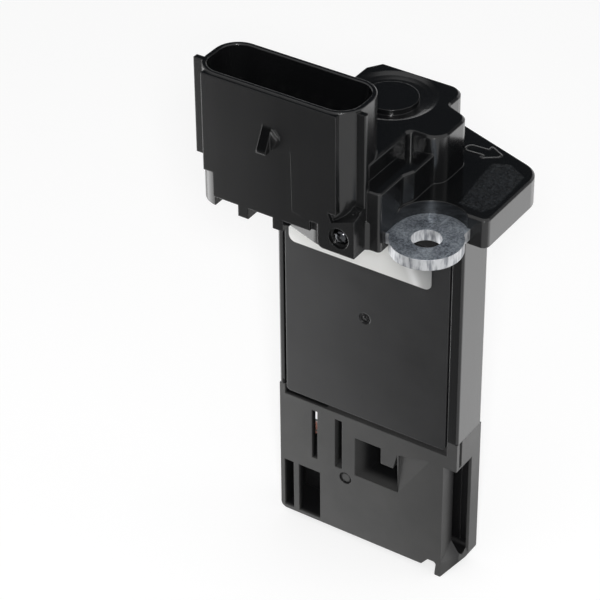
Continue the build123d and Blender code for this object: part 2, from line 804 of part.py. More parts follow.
def body_chambers():
    """The hollows between the front wall and the bypass cover."""
    left = -probe_right + side_wall
    floor = -probe_length + floor_wall
    column_right = lip_face - lip_thickness
    column_left = column_right - port_column
    shelf_under = -window_top
    upper_floor = -scoop_bottom
    ceiling = -chamber_top
    wall_left = chamber_wall_x - chamber_wall / 2
    wall_right = chamber_wall_x + chamber_wall / 2
    duct_left = scoop_left + scoop_ramp
    rooms = [
        block(left, wall_left, cavity_front, probe_back, upper_floor, ceiling),
        block(left, wall_left, cavity_front, probe_back, floor, shelf_under),
        block(wall_right, scoop_left - scoop_wall, cavity_front, probe_back, upper_floor, ceiling),
        block(scoop_left - 2 * scoop_wall, duct_left + scoop_wall, cavity_back - wall, probe_back,
              upper_floor, upper_floor + passage_height),
        block(duct_left, column_right, cavity_front, probe_back, upper_floor, ceiling),
        block(column_left, column_right, cavity_front, probe_back, -outlet_bottom + wall, ceiling),
        block(wall_right, column_left + 0.1, cavity_front, probe_back, floor, shelf_under),
    ]
    return rooms


def bypass_body():
    """The probe's lower half: a tray open to the back, with its windows and passages."""
    body = front_prism(bypass_outline(), probe_front, probe_back)
    body += block(-probe_right + rail_left, probe_right - rail_right, cavity_front, probe_back,
                  -body_top, -seam_right)
    body += block(-probe_right, -probe_right + rail_left, probe_front, probe_back, -body_top, -seam_left)
    body += block(probe_right - rail_right, probe_right, probe_front, probe_back, -body_top, -seam_right)
    for room in body_chambers():
        body -= room
    body += stake_post()
    body -= scoop()
    body -= exit_facet()
    body -= outlet_recess()
    body -= outlet_port()
    for x, width in ((slot_a_x, slot_a_width), (slot_b_x, slot_b_width)):
        body -= block(x - width / 2, x + width / 2, probe_front - 1, cavity_front + 0.1,
                      -slot_top - slot_height, -slot_top)
    for x, width in ((window_c_left, window_c_width), (window_d_left, window_d_width)):
        body -= block(x, x + width, probe_front - 1, cavity_front + 0.1, -window_bottom, -window_top)
    # the cover's seat
    body -= block(-probe_right - 1, lip_face, cavity_back, probe_back + 1, -probe_length - lip_tail - 1,
                  -body_top - cover_gap / 2)
    body -= across(stake_x, stake_z) * Cylinder(stake_r, probe_depth + 1)
    recess = Pos(0, probe_front, 0) * across(stake_x, stake_z)
    body -= recess * Cylinder(stake_recess_r, 2 * stake_recess_depth)
    body -= tongue_slot(-chamber_top - tongue_clearance, -seam_right + 1)
    for side in (-1, 1):
        body -= lead(side, lead_r + wire_clearance)
    body -= block(probe_right - slit_depth, probe_right + 1, slit_y - slit_width / 2, slit_y + slit_width / 2,
                  -outlet_top + slit_width / 2, -seam_right + 1)
    return body


def across(x, z):
    """A place in the probe's middle plane that looks along Y."""
    return Pos(x, 0, z) * Rot(90, 0, 0)


def stake_post():
    """The round post that the cover's stake passes through."""
    return across(stake_x, stake_z) * Cylinder(stake_r + stake_post_wall, probe_depth - 2 * wall)


def bypass_cover():
    """The back plate: the thermistor's window, and a stake melted over at the front."""
    right = lip_face - cover_gap / 4
    top = -body_top - cover_gap
    bottom = -probe_length
    notch_left_x = lip_face - lip_thickness - lip_notch_width
    plate = front_prism(
        FilletPolyline((-probe_right, top), (-probe_right, bottom), (notch_left_x, bottom),
                       (right, bottom + lip_notch_height + 0.6), (right, top),
                       radius=[0, body_corner_r, 0.5, 0.5, 0], close=True),
        cavity_back, probe_back,
    )
    window_z = -chamber_top - temp_window_drop
    window = front_panel(temp_window_left, temp_window_left + temp_window_width,
                         window_z - temp_window_height, window_z, cavity_back - 1, probe_back + 1,
                         temp_window_corner_r)
    stake_end = probe_front + stake_sunk
    middle = Pos(0, (cavity_back + stake_end) / 2, 0) * across(stake_x, stake_z)
    stake = middle * Cylinder(stake_r - stake_clearance, cavity_back - stake_end)
    return plate - window + stake


def export_all():
    """Writes one file for each node."""
    os.makedirs("parts", exist_ok=True)
    front_lug = lug()
    nodes = {
        "housing": housing(),
        "front_lug": front_lug,
        "rear_lug": Rot(0, 0, 180) * front_lug,
        "vent_ball": vent_ball(),
        "front_cover": front_cover(),
        "foil_sheet": foil_sheet(),
        "circuit_board": circuit_board(),
        "signal_chip": signal_chip(),
        "capacitors": capacitors(),
        "pressure_sensor": pressure_sensor(),
        "humidity_sensor": humidity_sensor(),
        "flow_chip": flow_chip(),
        "thermistor_bead": thermistor_bead(),
        "thermistor_leads": thermistor_leads(),
        "bypass_body": bypass_body(),
        "bypass_cover": bypass_cover(),
    }
    for number, terminal in enumerate(terminals(), start=1):
        nodes[f"terminal_{number}"] = terminal
    for name, shape in nodes.items():
        export_step(shape, f"parts/{name}.step")


export_all()
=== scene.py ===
import math

import bpy
import numpy as np
from mathutils import Matrix, Vector


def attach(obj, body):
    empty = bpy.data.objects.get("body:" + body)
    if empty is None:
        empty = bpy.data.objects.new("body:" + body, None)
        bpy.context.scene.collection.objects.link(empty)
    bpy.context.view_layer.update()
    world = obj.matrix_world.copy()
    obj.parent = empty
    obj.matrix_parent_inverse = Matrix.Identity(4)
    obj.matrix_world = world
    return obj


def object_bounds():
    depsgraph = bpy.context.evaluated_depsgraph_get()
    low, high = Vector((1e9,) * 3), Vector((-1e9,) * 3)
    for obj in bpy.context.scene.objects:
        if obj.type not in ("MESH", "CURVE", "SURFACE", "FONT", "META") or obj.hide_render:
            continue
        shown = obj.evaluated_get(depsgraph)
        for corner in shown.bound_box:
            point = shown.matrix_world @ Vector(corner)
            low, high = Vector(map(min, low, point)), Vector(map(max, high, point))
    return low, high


# Plug-in mass airflow sensor. Metres; +Z out of the duct, +X along the air flow, -Y to the probe's front.

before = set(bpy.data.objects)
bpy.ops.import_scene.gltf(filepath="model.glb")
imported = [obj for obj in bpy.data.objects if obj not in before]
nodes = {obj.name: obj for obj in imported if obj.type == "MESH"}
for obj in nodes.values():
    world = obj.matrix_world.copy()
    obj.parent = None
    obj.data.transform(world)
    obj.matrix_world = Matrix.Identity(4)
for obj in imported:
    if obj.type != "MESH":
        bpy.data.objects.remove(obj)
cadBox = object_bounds()
millimetre = 0.001
edgeSamples = 6  # rays that find out how a softened edge is rounded
print("frame loaded:", len(nodes), "nodes")


class Wire:
    # an output socket; arithmetic on it adds Math nodes
    def __init__(self, shader, socket):
        self.shader = shader
        self.socket = socket

    def calculate(self, operation, *values):
        return self.shader.add("Math", {"operation": operation}, dict(enumerate(values)))

    def __add__(self, other):
        return self.calculate("ADD", self, other)

    def __radd__(self, other):
        return self.calculate("ADD", other, self)

    def __sub__(self, other):
        return self.calculate("SUBTRACT", self, other)

    def __rsub__(self, other):
        return self.calculate("SUBTRACT", other, self)

    def __mul__(self, other):
        return self.calculate("MULTIPLY", self, other)

    def __rmul__(self, other):
        return self.calculate("MULTIPLY", other, self)

    def __truediv__(self, other):
        return self.calculate("DIVIDE", self, other)

    def __rtruediv__(self, other):
        return self.calculate("DIVIDE", other, self)

    def __pow__(self, other):
        return self.calculate("POWER", self, other)

    def __rpow__(self, other):
        return self.calculate("POWER", other, self)

    def __abs__(self):
        return self.calculate("ABSOLUTE", self)

    def sine(self):
        return self.calculate("SINE", self)

    def least(self, other):
        return self.calculate("MINIMUM", self, other)

    def most(self, other):
        return self.calculate("MAXIMUM", self, other)

    def over(self, limit):
        return self.calculate("GREATER_THAN", self, limit)

    def under(self, limit):
        return self.calculate("LESS_THAN", self, limit)

    def rise(self, low, high):
        # 0 below low, 1 above high, smooth between
        settings = {"interpolation_type": "SMOOTHSTEP"}
        return self.shader.add("MapRange", settings, {"Value": self, "From Min": low, "From Max": high})


class Shader:
    # the node tree of a material or of the world
    def __init__(self, owner, output="OutputMaterial"):
        self.owner = owner
        owner.use_nodes = True
        self.tree = owner.node_tree
        self.tree.nodes.clear()
        self.output = self.tree.nodes.new("ShaderNode" + output)

    def add(self, kind, settings=None, inputs=None, out=0):
        # any node: its settings first, then the values or links of its sockets
        node = self.tree.nodes.new("ShaderNode" + kind)
        for name, value in (settings or {}).items():
            setattr(node, name, value)
        for name, value in (inputs or {}).items():
            self.feed(node.inputs[name], value)
        return Wire(self, node.outputs[out])

    def feed(self, socket, value):
        if isinstance(value, Wire):
            self.tree.links.new(value.socket, socket)
        elif isinstance(value, (tuple, list)) and socket.type == "RGBA":
            socket.default_value = (*value, 1.0)[:4]
        else:
            socket.default_value = value

    def place(self):
        return self.add("TexCoord", out="Object")

    def axis(self, letter):
        # one Object coordinate, in metres
        return self.add("SeparateXYZ", inputs={"Vector": self.place()}, out=letter)

    def inMillimetres(self, letters):
        # the named Object coordinates, in millimetres
        return [self.axis(letter) / millimetre for letter in letters]

    def facing(self, letter):
        # one part of the surface's own direction
        normal = self.add("NewGeometry", out="Normal")
        return self.add("SeparateXYZ", inputs={"Vector": normal}, out=letter)

    def noise(self, scale, detail=2.0, stretch=(1, 1, 1), roughness=0.5):
        # smooth noise, 0 to 1; a stretch under 1 draws it out along that axis
        spread = self.add("Mapping", inputs={"Vector": self.place(), "Scale": stretch})
        inputs = {"Vector": spread, "Scale": scale, "Detail": detail, "Roughness": roughness}
        return self.add("TexNoise", inputs=inputs)

    def blend(self, amount, first, second):
        # a mix of two colours
        settings = {"data_type": "RGBA", "clamp_factor": True}
        return self.add("Mix", settings, {0: amount, 6: first, 7: second}, out=2)

    def bump(self, height, strength, distance, edgeRadius=0):
        # height tilts the normal, and a radius softens the edges under it
        inputs = {"Height": height, "Strength": strength, "Distance": distance}
        if edgeRadius:
            inputs["Normal"] = self.add("Bevel", {"samples": edgeSamples}, {"Radius": edgeRadius})
        return self.add("Bump", inputs=inputs)

    def seenDirectly(self):
        # 1 for rays from the camera, a mirror or through glass
        camera, mirror, glass = [self.add("LightPath", out=f"Is {kind} Ray")
                                 for kind in ("Camera", "Glossy", "Transmission")]
        return camera.most(mirror).most(glass)

    def finish(self, **look):
        # the surface shader; constants go on its own sockets
        names = {
            "colour": "Base Color", "roughness": "Roughness", "metallic": "Metallic", "normal": "Normal",
            "specular": "Specular IOR Level", "coat": "Coat Weight",
        }
        inputs = {names[key]: value for key, value in look.items()}
        return self.show(self.add("BsdfPrincipled", inputs=inputs))

    def show(self, surface):
        self.feed(self.output.inputs["Surface"], surface)
        return self.owner


def newShader(name):
    return Shader(bpy.data.materials.new(name))


def distanceFrom(centre, across, along):
    # the root of the two squared offsets
    return ((across - centre[0]) ** 2 + (along - centre[1]) ** 2) ** 0.5


def within(x, y, corners, softness):
    # 1 inside a convex outline whose corners run anticlockwise: the product, over its sides, of a smooth
    # step on the distance to the side's left
    inside = 1
    for (x0, y0), (x1, y1) in zip(corners, corners[1:] + corners[:1]):
        length = math.hypot(x1 - x0, y1 - y0)
        aside = (y - y0) * ((x1 - x0) / length) - (x - x0) * ((y1 - y0) / length)
        inside = aside.rise(0, softness) * inside
    return inside


def near(x, y, route, width):
    # 1 on a line through the given points, falling to 0 at its width: the distance is the sum of the two
    # offsets from the nearest point of the line
    closest = None
    for (x0, y0), (x1, y1) in zip(route, route[1:]):
        length = math.hypot(x1 - x0, y1 - y0)
        goesX, goesY = (x1 - x0) / length, (y1 - y0) / length
        along = ((x - x0) * goesX + (y - y0) * goesY).most(0).least(length)
        across = abs(x - x0 - along * goesX) + abs(y - y0 - along * goesY)
        closest = across if closest is None else closest.least(across)
    return 1 - closest.rise(0, width)


housingFinish = dict(
    colour=(0.0042, 0.0044, 0.0048), paler=(0.006, 0.0062, 0.0066), palerRange=(0.35, 0.75),
    specular=0.5, edgeRadius=0.00022,
    # places are in millimetres, depths in metres, and noise scales count per metre
    # roughness: of the polished faces, then what the other zones and two noises add
    polished=0.085, walls=0.075, moatSoft=0.09, satin=0.11, cloudRough=0.03, streakRough=0.06,
    cloud=dict(scale=55.0, detail=4.0), streak=dict(scale=260.0, stretch=(1, 1, 0.08)),
    grain=dict(scale=4200.0, detail=1.0), grainDepth=0.000004,
    # faces that look up are tops, and what stands over towerFoot and behind towerFront is tower
    topRange=(0.6, 0.95), flangeTop=5.3, towerFoot=5.35, towerFront=-8.6,
    # round wells over the two lugs, and the catch on the connector's front
    well=(15.7, -10.7), wellRadius=6.3, catchX=-9.1, catchHalf=1.0, catchFront=-19.65,
    # the moat round the tower's pad: its bands read as one gentle curve
    pad=(-2.2, 6.2), padRadius=4.6, moatRadius=7.8, moatFoot=12, moatCurve=1.6, moatEased=0.48, moatEdge=0.01,
    # the grained patch on the flange's top
    patch=((14.7, 9.1), (15.6, 2.0), (16.1, -4.1), (21.2, -4.3), (22.4, -1.7), (22.0, 8.4), (18.0, 10.7)),
    patchBorder=0.5, patchReach=0.1, patchPaler=(0.022, 0.025, 0.028), patchRange=(0.4, 0.68),
    patchRough=0.085,
    pebble=dict(scale=2400.0, detail=3.0, roughness=0.65), pebbleDepth=0.00003,
    # witness line of the mould's insert, on what lies in front of insertFront
    insert=((-7.7, 14.9), (-4.9, 15.7), (-4.7, 4.9), (-3.1, 4.6)), insertFront=-18.8, insertWidth=0.12,
    insertDepth=0.000012,
)


def housingZones(s, x, y, z):
    # masks, 0 to 1: tops, tower, and satin for all that is neither of them nor a well nor the catch
    f = housingFinish
    up = s.facing("Z").rise(*f["topRange"])
    tower = z.over(f["towerFoot"]) * y.over(f["towerFront"])
    otherWell = [-value for value in f["well"]]
    wells = distanceFrom(f["well"], x, y).least(distanceFrom(otherWell, x, y)).under(f["wellRadius"])
    catch = y.under(f["catchFront"]) * abs(x - f["catchX"]).under(f["catchHalf"])
    satin = (1 - up) * (1 - tower) * (1 - wells) * (1 - catch)
    return up, tower, satin


def housingPlastic():
    # black moulding: polished on the tops, the tower, the wells and the catch, satin elsewhere
    s = newShader("housingPlastic")
    f = housingFinish
    x, y, z = s.inMillimetres("XYZ")
    up, tower, satin = housingZones(s, x, y, z)
    # 0 at the pad's edge, 1 at the moat's rim
    share = (distanceFrom(f["pad"], x, y) - f["padRadius"]) / (f["moatRadius"] - f["padRadius"])
    share = share.most(0).least(1)
    high = z.over(f["moatFoot"])
    eased = share ** f["moatCurve"] * f["moatEased"] * high * up
    inMoat = share.over(f["moatEdge"]) * share.under(1 - f["moatEdge"]) * high
    onFlange = z.over(f["flangeTop"] - f["patchReach"]) * z.under(f["flangeTop"] + f["patchReach"])
    patch = within(x, y, f["patch"], f["patchBorder"]) * up * onFlange
    seam = near(x, z, f["insert"], f["insertWidth"]) * y.under(f["insertFront"])
    cloud = s.noise(**f["cloud"])
    streak = s.noise(**f["streak"])
    grain = s.noise(**f["grain"])
    pebble = s.noise(**f["pebble"])
    colour = s.blend(cloud.rise(*f["palerRange"]), f["colour"], f["paler"])
    colour = s.blend(patch * pebble.rise(*f["patchRange"]), colour, f["patchPaler"])
    roughness = f["polished"] + f["cloudRough"] * cloud + satin * (f["satin"] + f["streakRough"] * streak)
    roughness = roughness + inMoat * f["moatSoft"] + (1 - up) * tower * f["walls"] + patch * f["patchRough"]
    height = grain * satin * f["grainDepth"] + pebble * patch * f["pebbleDepth"] - seam * f["insertDepth"]
    normal = s.bump(height / millimetre - eased, 1.0, millimetre, f["edgeRadius"])
    return s.finish(colour=colour, roughness=roughness, normal=normal, specular=f["specular"])


coverFinish = dict(
    colour=(0.011, 0.0112, 0.012), paler=(0.018, 0.018, 0.019), palerRange=(0.3, 0.75),
    specular=0.5, edgeRadius=0.00025,
    roughness=0.31, cloudRough=0.12, rubSmooth=0.06, gateSmooth=0.18,
    cloud=dict(scale=70.0, detail=5.0, roughness=0.6), grain=dict(scale=4200.0, detail=1.0),
    rub=dict(scale=900.0, detail=3.0, stretch=(0.15, 1, 1)), rubRange=(0.62, 0.72),
    # relief: the grain, with these shares of the cloud and of the gate's burr
    reliefStrength=0.5, reliefDepth=0.00001, cloudRelief=0.6, burrRelief=14,
    # the painted shade in the dimple round the moulding gate, in millimetres
    gate=(-0.6, -23.8), gateRadius=1.05, gateFade=0.35, gateWander=0.5, gateShadeColour=(0.0025, 0.0025, 0.003),
    burr=dict(scale=1500.0, detail=3.0),
)


def coverPlastic():
    # the same black on a flat cover, cloudier, with a few fine rubs and a torn gate mark whose dimple is
    # darkened with painted shade
    s = newShader("coverPlastic")
    f = coverFinish
    x, z = s.inMillimetres("XZ")
    cloud = s.noise(**f["cloud"])
    rub = s.noise(**f["rub"]).rise(*f["rubRange"])
    grain = s.noise(**f["grain"])
    burr = s.noise(**f["burr"])
    ragged = distanceFrom(f["gate"], x, z) + f["gateWander"] * (burr - 0.5)
    gate = 1 - ragged.rise(f["gateRadius"] - f["gateFade"], f["gateRadius"])
    colour = s.blend(cloud.rise(*f["palerRange"]), f["colour"], f["paler"])
    # painted shade: the dimple round the gate is coloured darker
    colour = s.blend(gate, colour, f["gateShadeColour"])
    roughness = f["roughness"] + f["cloudRough"] * cloud - f["rubSmooth"] * rub - f["gateSmooth"] * gate
    relief = grain + f["cloudRelief"] * cloud + f["burrRelief"] * gate * burr
    normal = s.bump(relief, f["reliefStrength"], f["reliefDepth"], f["edgeRadius"])
    return s.finish(colour=colour, roughness=roughness, normal=normal, specular=f["specular"])


bypassFinish = dict(
    colour=(0.044, 0.044, 0.044), paler=(0.06, 0.0595, 0.0585), palerRange=(0.25, 0.8),
    specular=0.5, edgeRadius=0.0002,
    roughness=0.46, grainRough=0.1, cloudSmooth=0.08,
    cloud=dict(scale=90.0, detail=4.0, roughness=0.6),
    grain=dict(scale=3000.0), grainStrength=0.7, grainDepth=0.00002,
    speck=dict(scale=1500.0), speckRange=(0.66, 0.72), speckPale=0.25,
    # painted shade: the passages darken with depth, and the windows' walls from nearer the front; in
    # millimetres
    inside=(0.004, 0.004, 0.0045), insideRange=(-3.0, -0.6), sideX=17.1, backY=2.9,
    windowsRight=-8.5, windowsTop=-45.0, windowRange=(-3.95, -3.2),
    # painted shade: a darker ring in the recess round the melted stake
    stake=(-4.35, -59.9), ringRadius=1.22, ringRange=(0.5, 0.95), ringShade=0.75, ringFront=-3.0,
)


def bypassPlastic():
    # greyer, more matt plastic with an even spark-eroded grain, and painted shade in its passages and round
    # its stake
    s = newShader("bypassPlastic")
    f = bypassFinish
    x, y, z = s.inMillimetres("XYZ")
    cloud = s.noise(**f["cloud"])
    grain = s.noise(**f["grain"])
    speck = s.noise(**f["speck"]).rise(*f["speckRange"])
    passages = y.rise(*f["insideRange"]) * abs(x).under(f["sideX"])
    windows = x.under(f["windowsRight"]) * z.under(f["windowsTop"]) * y.rise(*f["windowRange"])
    fromStake = distanceFrom(f["stake"], x, z)
    ring = fromStake.under(f["ringRadius"]) * fromStake.rise(*f["ringRange"]) * y.under(f["ringFront"])
    # painted shade inside the passages, the windows and the stake's recess
    innerShade = (passages.most(windows) * y.under(f["backY"])).most(ring * f["ringShade"])
    pale = cloud.rise(*f["palerRange"]) + f["speckPale"] * speck
    colour = s.blend(innerShade, s.blend(pale, f["colour"], f["paler"]), f["inside"])
    roughness = f["roughness"] + f["grainRough"] * grain - f["cloudSmooth"] * cloud
    normal = s.bump(grain, f["grainStrength"], f["grainDepth"], f["edgeRadius"])
    return s.finish(colour=colour, roughness=roughness, normal=normal, specular=f["specular"])


lugFinish = dict(
    dark=(0.09, 0.105, 0.13), light=(0.52, 0.57, 0.63), flatRange=(0.8, 0.95),
    # on rolled faces mottle and cloud share the lightness, and scratches lighten it further
    mottle=dict(scale=2900.0, detail=3.0, roughness=0.7), mottleRange=(0.36, 0.66), mottleShare=0.55,
    cloud=dict(scale=260.0, detail=3.0), cloudRange=(0.35, 0.7), cloudShare=0.45,
    longScratch=dict(scale=900.0, detail=3.0, stretch=(1.0, 0.06, 1)), longRange=(0.62, 0.7),
    crossScratch=dict(scale=900.0, detail=3.0, stretch=(0.09, 1.0, 1)), crossRange=(0.64, 0.72),
    scratchPale=0.8,
    # sheared edges: upright tears and level bands
    shadedEdge=(0.2, 0.21, 0.23), sheared=(0.55, 0.56, 0.575),
    tear=dict(scale=1500.0, detail=3.0, stretch=(1, 1, 0.25)), tearRange=(0.3, 0.6),
    band=dict(scale=900.0, stretch=(0.2, 0.2, 3.0)),
    faceRoughness=0.36, mottleRough=0.2, edgeRoughness=0.42, tearRough=0.2,
    mottleRelief=0.25, reliefStrength=0.9, reliefDepth=0.00008, edgeRadius=0.00015,
    metallic=0.6, faceMetallic=0.15,
)


def lugMetal():
    # rolled faces mottled blue-grey with scratches, sheared edges bright with coarse upright tears
    s = newShader("lugMetal")
    f = lugFinish
    flat = abs(s.facing("Z")).rise(*f["flatRange"])
    mottle = s.noise(**f["mottle"])
    cloud = s.noise(**f["cloud"])
    long = s.noise(**f["longScratch"]).rise(*f["longRange"])
    cross = s.noise(**f["crossScratch"]).rise(*f["crossRange"])
    rolled = mottle.rise(*f["mottleRange"]) * f["mottleShare"]
    rolled = rolled + cloud.rise(*f["cloudRange"]) * f["cloudShare"]
    rolled = rolled.most(f["scratchPale"] * long.most(cross))
    tear = s.noise(**f["tear"])
    band = s.noise(**f["band"])
    face = s.blend(rolled, f["dark"], f["light"])
    edge = s.blend(tear.rise(*f["tearRange"]), f["shadedEdge"], f["sheared"])
    colour = s.blend(flat, edge, face)
    onFace = f["faceRoughness"] + f["mottleRough"] * mottle
    onEdge = f["edgeRoughness"] + f["tearRough"] * tear
    roughness = flat * onFace + (1 - flat) * onEdge
    relief = flat * (f["mottleRelief"] * mottle) + (1 - flat) * (tear + band)
    normal = s.bump(relief, f["reliefStrength"], f["reliefDepth"], f["edgeRadius"])
    metallic = flat * f["faceMetallic"] + f["metallic"]
    return s.finish(colour=colour, roughness=roughness, normal=normal, metallic=metallic)


foilFinish = dict(
    colour=(0.86, 0.86, 0.84), shaded=(0.26, 0.265, 0.27), creaseHighlight=(0.9, 0.9, 0.9), metallic=0.5,
    roughness=0.34, wave=dict(scale=130.0, detail=3.0), waveRough=0.15,
    # the painted shade and the crease with its painted highlight lie on slanted lines, x + slope * z, in
    # metres
    shadeSlope=0.35, shadeRange=(-0.001, 0.012),
    creaseSlope=0.45, creaseX=0.0042, creaseWander=0.0012, creaseWidth=0.0016, creaseHighlightShare=0.75,
    creaseRelief=0.4, reliefStrength=0.6, reliefDepth=0.0002,
)


def foilMetal():
    # thin metallised sheet: faint waves, painted shade darker to the right, and one slanted crease near its
    # right end with a painted highlight along it
    s = newShader("foilMetal")
    f = foilFinish
    x = s.axis("X")
    z = s.axis("Z")
    wave = s.noise(**f["wave"])
    slant = x + f["creaseSlope"] * z - f["creaseX"]
    crease = 1 - abs(slant + f["creaseWander"] * wave).rise(0.0, f["creaseWidth"])
    # painted shade: darker to the right of a slanted line
    shade = (x + f["shadeSlope"] * z).rise(*f["shadeRange"])
    colour = s.blend(shade, f["colour"], f["shaded"])
    # painted highlight along the crease
    colour = s.blend(crease * f["creaseHighlightShare"], colour, f["creaseHighlight"])
    roughness = f["roughness"] + f["waveRough"] * wave
    normal = s.bump(wave + f["creaseRelief"] * crease, f["reliefStrength"], f["reliefDepth"])
    return s.finish(colour=colour, roughness=roughness, metallic=f["metallic"], normal=normal)


ballFinish = dict(
    colour=(0.05, 0.052, 0.056), glintPaler=(0.6, 0.6, 0.62), metallic=1.0, roughness=0.12, markRough=0.3,
    mark=dict(scale=1800.0, detail=3.0), markRange=(0.62, 0.68), markStrength=0.6, markDepth=0.00003,
)


def ballSteel():
    # dark polished ball with the odd rough raised mark, painted paler as a glint
    s = newShader("ballSteel")
    f = ballFinish
    mark = s.noise(**f["mark"]).rise(*f["markRange"])
    # painted glint: the marks are coloured pale
    colour = s.blend(mark, f["colour"], f["glintPaler"])
    roughness = f["roughness"] + f["markRough"] * mark
    normal = s.bump(mark, f["markStrength"], f["markDepth"])
    return s.finish(colour=colour, roughness=roughness, metallic=f["metallic"], normal=normal)


boardFinish = dict(
    colour=(0.012, 0.09, 0.045), paler=(0.02, 0.14, 0.07), weaveTurns=5200.0, weavePale=0.5, cloudPale=0.3,
    cloud=dict(scale=300.0), roughness=0.35, cloudRough=0.1, weaveStrength=0.3, weaveDepth=0.00002,
)


def boardLaminate():
    # green mask over woven glass: the weave is |sin(turns * x)| * |sin(turns * z)|
    s = newShader("boardLaminate")
    f = boardFinish
    weave = abs((s.axis("X") * f["weaveTurns"]).sine()) * abs((s.axis("Z") * f["weaveTurns"]).sine())
    cloud = s.noise(**f["cloud"])
    colour = s.blend(f["weavePale"] * weave + f["cloudPale"] * cloud, f["colour"], f["paler"])
    normal = s.bump(weave, f["weaveStrength"], f["weaveDepth"])
    return s.finish(colour=colour, roughness=f["roughness"] + f["cloudRough"] * cloud, normal=normal)


capacitorFinish = dict(
    colour=(0.3, 0.19, 0.1), paler=(0.38, 0.25, 0.14), endColour=(0.65, 0.64, 0.6), endMetallic=0.9,
    # the body's middle and half length along x, in metres
    middleX=-0.0055, bodyHalf=0.00065,
    grain=dict(scale=3000.0), roughness=0.4, grainRough=0.1, grainStrength=0.3, grainDepth=0.00001,
)


def capacitorCeramic():
    # tan body with bright ends
    s = newShader("capacitorCeramic")
    f = capacitorFinish
    end = abs(s.axis("X") - f["middleX"]).over(f["bodyHalf"])
    grain = s.noise(**f["grain"])
    colour = s.blend(end, s.blend(grain, f["colour"], f["paler"]), f["endColour"])
    roughness = f["roughness"] + f["grainRough"] * grain
    normal = s.bump(grain, f["grainStrength"], f["grainDepth"])
    return s.finish(colour=colour, roughness=roughness, metallic=end * f["endMetallic"], normal=normal)


# finishes of small pieces, in which one noise tints the colour, the roughness and the height
cloudedFinishes = dict(
    epoxyBlack=dict(
        cloud=dict(scale=4000.0), colour=(0.01, 0.01, 0.01), paler=(0.025, 0.025, 0.026),
        roughness=0.5, rougher=0.15, strength=0.4, depth=0.00001),
    sensorLid=dict(
        cloud=dict(scale=2500.0, stretch=(0.05, 1, 1)), colour=(0.5, 0.5, 0.5), paler=(0.72, 0.72, 0.7),
        roughness=0.28, rougher=0.15, strength=0.3, depth=0.00001, look=dict(metallic=1.0)),
    siliconChip=dict(
        cloud=dict(scale=600.0), colour=(0.05, 0.06, 0.1), paler=(0.09, 0.1, 0.15),
        roughness=0.15, rougher=0.05, strength=0.1, depth=0.000005, look=dict(metallic=0.6)),
    beadGlass=dict(
        cloud=dict(scale=1500.0, detail=3.0), colour=(0.62, 0.2, 0.15), paler=(0.85, 0.5, 0.42),
        roughness=0.1, rougher=0.1, strength=0.2, depth=0.00002, look=dict(coat=0.6)),
    tinnedWire=dict(
        cloud=dict(scale=1200.0, detail=3.0), colour=(0.5, 0.49, 0.46), paler=(0.75, 0.73, 0.69),
        roughness=0.28, rougher=0.2, strength=0.3, depth=0.00001, look=dict(metallic=1.0)),
)


def cloudedFinish(name):
    # a small piece's material, by its name in the dictionary above
    s = newShader(name)
    f = cloudedFinishes[name]
    cloud = s.noise(**f["cloud"])
    colour = s.blend(cloud, f["colour"], f["paler"])
    roughness = f["roughness"] + f["rougher"] * cloud
    normal = s.bump(cloud, f["strength"], f["depth"])
    return s.finish(colour=colour, roughness=roughness, normal=normal, **f.get("look", {}))


def makePiece(name, points, faces, finish):
    # a new mesh that rides on the sensor
    mesh = bpy.data.meshes.new(name)
    mesh.from_pydata(points.reshape(-1, 3), [], faces)
    mesh.materials.append(finish)
    mesh.polygons.foreach_set("use_smooth", np.ones(len(mesh.polygons), dtype=bool))
    piece = bpy.data.objects.new(name, mesh)
    bpy.context.collection.objects.link(piece)
    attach(piece, "root")


def gridFaces(rows, columns, closedRows):
    # four-cornered faces of a grid that is closed across and, if asked, along: each point, its neighbour
    # across, that one's neighbour along, and its own neighbour along
    steps = rows if closedRows else rows - 1
    row, column = np.meshgrid(np.arange(steps), np.arange(columns), indexing="ij")
    nextRow, nextColumn = (row + 1) % rows, (column + 1) % columns
    corners = (row * columns + column, row * columns + nextColumn,
               nextRow * columns + nextColumn, nextRow * columns + column)
    return np.stack([corner.ravel() for corner in corners], axis=1).tolist()


def roundedRoute(corners, radii, steps):
    # a closed outline whose corners are quadratic curves: (1-t)^2 a + 2t(1-t) corner + t^2 b
    corners = np.array(corners, dtype=float)
    radii = np.array(radii, dtype=float)[:, None]
    before = np.roll(corners, 1, axis=0) - corners
    after = np.roll(corners, -1, axis=0) - corners
    start = corners + before / np.linalg.norm(before, axis=1, keepdims=True) * radii
    end = corners + after / np.linalg.norm(after, axis=1, keepdims=True) * radii
    t = np.linspace(0, 1, steps)[None, :, None]
    curve = (1 - t) ** 2 * start[:, None] + 2 * t * (1 - t) * corners[:, None] + t ** 2 * end[:, None]
    return curve.reshape(-1, 2)


# millimetres: along the air flow, then half widths across it, then the bead that draws the outline
flowArrow = dict(
    tail=9.2, neck=12.75, tip=15.35, middle=11.35, drift=0.08, halfShaft=0.95, halfHead=1.95, halfTip=0.35,
    tailRadius=0.85, cornerRadius=0.25, cornerSteps=7, beadSides=12, top=5.3, width=0.46, height=0.018,
    sunk=0.03,
)


